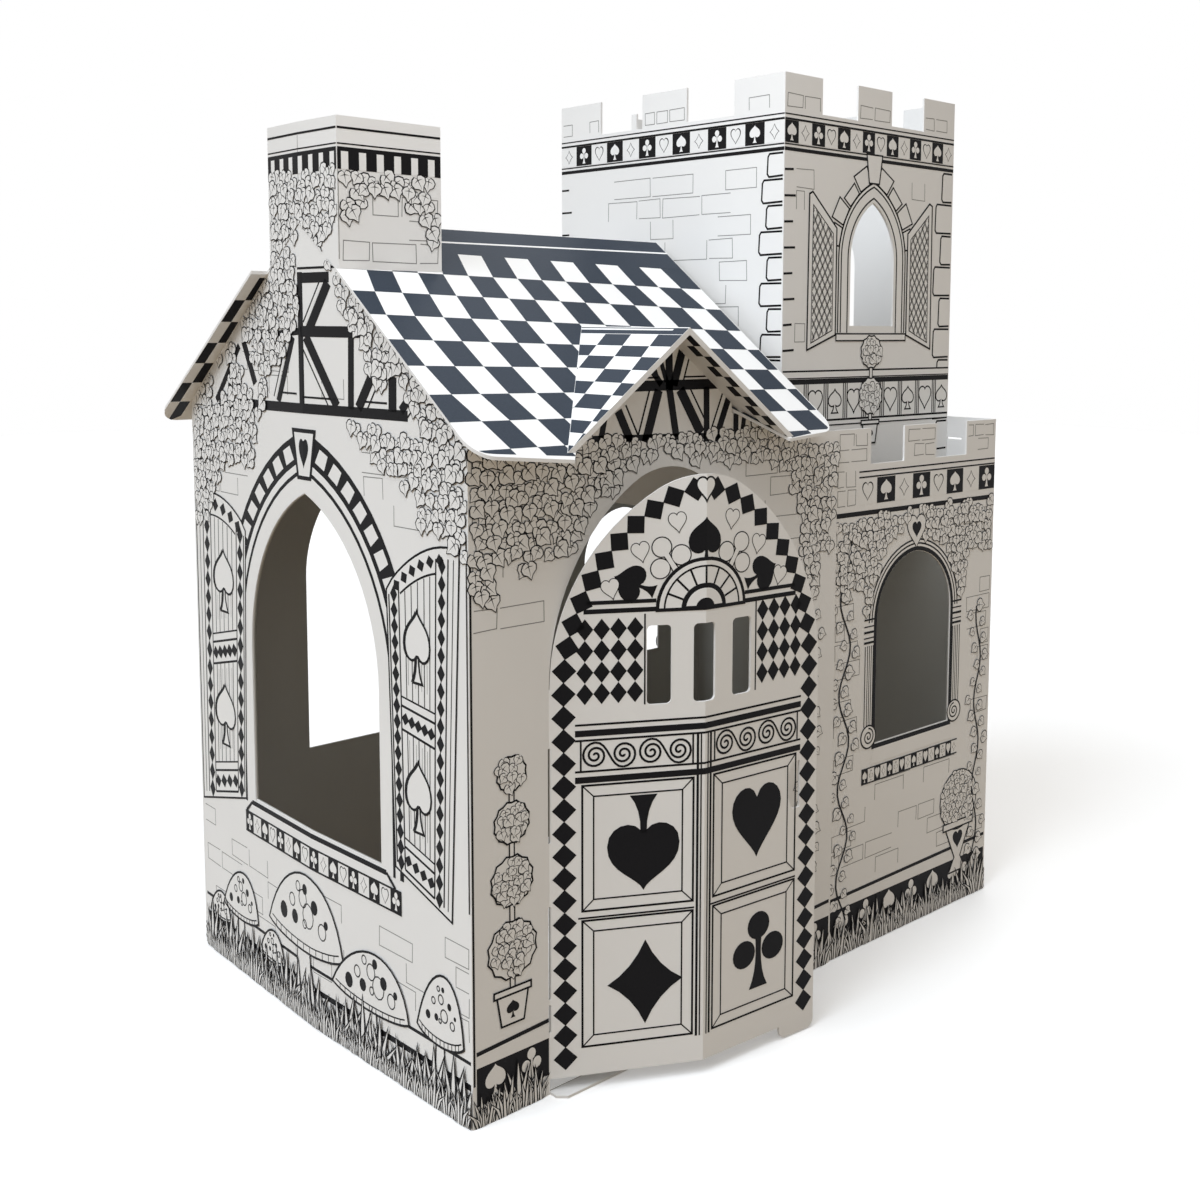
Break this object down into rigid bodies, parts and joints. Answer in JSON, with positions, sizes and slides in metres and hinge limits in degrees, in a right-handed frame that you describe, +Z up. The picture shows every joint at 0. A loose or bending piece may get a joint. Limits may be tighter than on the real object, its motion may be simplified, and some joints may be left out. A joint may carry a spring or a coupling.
{
  "type": "folded cardboard play castle",
  "caption": "Folded cardboard play castle with a gabled house, chimney, dormer, arched folding door, pointed windows, crenellated tower and low bays.",
  "frame": {"origin": "middle of the footprint on the floor, door standing open", "axes": "+Z up, +X to the right along the front with the tower on the right, +Y from the front to the back"},
  "size_m": [1.226, 0.9788, 1.494],
  "materials": {
    "house_card": "matt white board printed in black line and pattern",
    "bay_card": "matt white board printed in black line and pattern",
    "tower_card": "matt white board printed in black line and pattern",
    "roof_card": "matt white board printed with a slate-black checker"
  },
  "bodies": {
    "root": {"front_gable_walls": "house_card", "back_house_wall": "house_card", "bay_walls": "bay_card", "tower_walls": "tower_card", "main_roof": "roof_card", "dormer_roof": "roof_card"}
  },
  "joints": []
}
